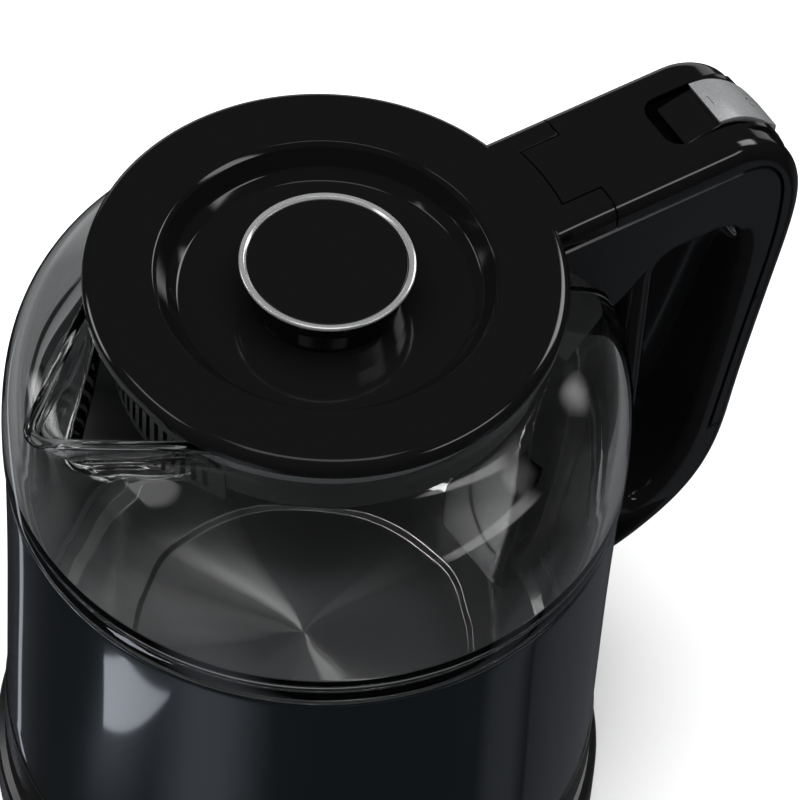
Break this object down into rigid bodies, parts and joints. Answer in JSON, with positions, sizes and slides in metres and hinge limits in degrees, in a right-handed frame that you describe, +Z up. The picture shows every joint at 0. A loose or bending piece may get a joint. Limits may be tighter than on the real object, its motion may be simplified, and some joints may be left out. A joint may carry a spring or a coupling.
{
  "type": "electric kettle",
  "caption": "Glass electric kettle with dark lacquered sleeve, lift-off dished lid with chrome-ringed knob, V spout, black D handle with rocker switch, on a round swivel power base.",
  "frame": {"origin": "the point on the table, under the middle of the kettle's length and width, on the plane of the feet; the kettle's own axis is set back from it along -X", "axes": "+X toward the handle, -X toward the spout, +Z up along the flask"},
  "size_m": [0.2065, 0.153, 0.1988],
  "materials": {
    "black_gloss": "moulded gloss black",
    "black_satin": "moulded satin black",
    "black_matte": "moulded matte black",
    "rubber": "soft black rubber",
    "zinc_steel": "plated steel",
    "brass": "bare contact brass",
    "acetal_grey": "natural grey acetal",
    "clear_glass": "clear heat-proof glass",
    "silicone": "translucent grey silicone",
    "sleeve_lacquer": "dark blue-black metallic lacquer, glossy",
    "spun_steel": "spun stainless steel, circular grain",
    "aluminium": "plain aluminium",
    "element_alloy": "tubular element sheath",
    "chrome_ring": "polished chrome",
    "silver_paint": "matt silver-grey",
    "wire_brown": "insulated lead",
    "wire_blue": "insulated lead"
  },
  "bodies": {
    "base": {"base_housing": "black_satin", "base_bottom_cover": "black_matte", "base_feet": "rubber", "base_screws": "zinc_steel", "base_socket": "black_matte", "base_contact_earth": "brass", "base_contact_live": "brass", "base_contact_neutral": "brass", "base_cord_gland": "rubber"},
    "glide": {"base_glide_ring": "acetal_grey"},
    "kettle": {"flask": "clear_glass", "flask_seal": "silicone", "body_sleeve": "sleeve_lacquer", "sleeve_spacer": "silicone", "heating_plate": "spun_steel", "diffuser_plate": "aluminium", "heating_element": "element_alloy", "element_terminals": "zinc_steel", "bottom_housing": "black_satin", "bottom_screws": "zinc_steel", "kettle_connector": "black_matte", "connector_pin_earth": "brass", "connector_ring_live": "brass", "connector_ring_neutral": "brass", "boil_dry_disc": "zinc_steel", "handle_shell": "black_gloss", "handle_cover": "black_gloss", "handle_collar": "black_gloss", "handle_bracket": "zinc_steel", "handle_screws": "zinc_steel", "steam_switch_body": "black_matte", "steam_disc": "zinc_steel", "switch_contacts": "brass", "steam_tube": "silicone", "wire_live": "wire_brown", "wire_return": "wire_blue", "paddle_pin": "zinc_steel", "lever_pin": "zinc_steel"},
    "switch": {"switch_paddle": "black_gloss", "paddle_cap": "silver_paint"},
    "lever": {"trip_lever": "acetal_grey"},
    "lid": {"lid_top": "black_gloss", "lid_knob": "black_gloss", "knob_ring": "chrome_ring", "lid_skirt": "black_satin", "lid_gasket": "silicone", "lid_strainer": "black_satin", "lid_screws": "zinc_steel", "knob_screw": "zinc_steel"}
  },
  "joints": [
    {"name": "kettle_swivel", "type": "hinge", "parent": "base", "child": "glide", "pos_m": [-0.0221, 0, 0.02], "axis": [0, 0, 1], "continuous": true},
    {"name": "kettle_lift", "type": "slide", "parent": "glide", "child": "kettle", "axis": [0, 0, 1], "range_m": [0, 0.06]},
    {"name": "lid_lift", "type": "slide", "parent": "kettle", "child": "lid", "axis": [0, 0, 1], "range_m": [0, 0.06]},
    {"name": "switch_rock", "type": "hinge", "parent": "kettle", "child": "switch", "pos_m": [0.0904, 0, 0.183], "axis": [0, -1, 0], "range_deg": [0, 8]},
    {"name": "trip_lever_turn", "type": "hinge", "parent": "kettle", "child": "lever", "pos_m": [0.0779, 0, 0.177], "axis": [0, -1, 0], "range_deg": [-13, 0]}
  ],
  "couplings": [
    {"joint": "trip_lever_turn", "follows": "switch_rock", "ratio": -1.5}
  ]
}
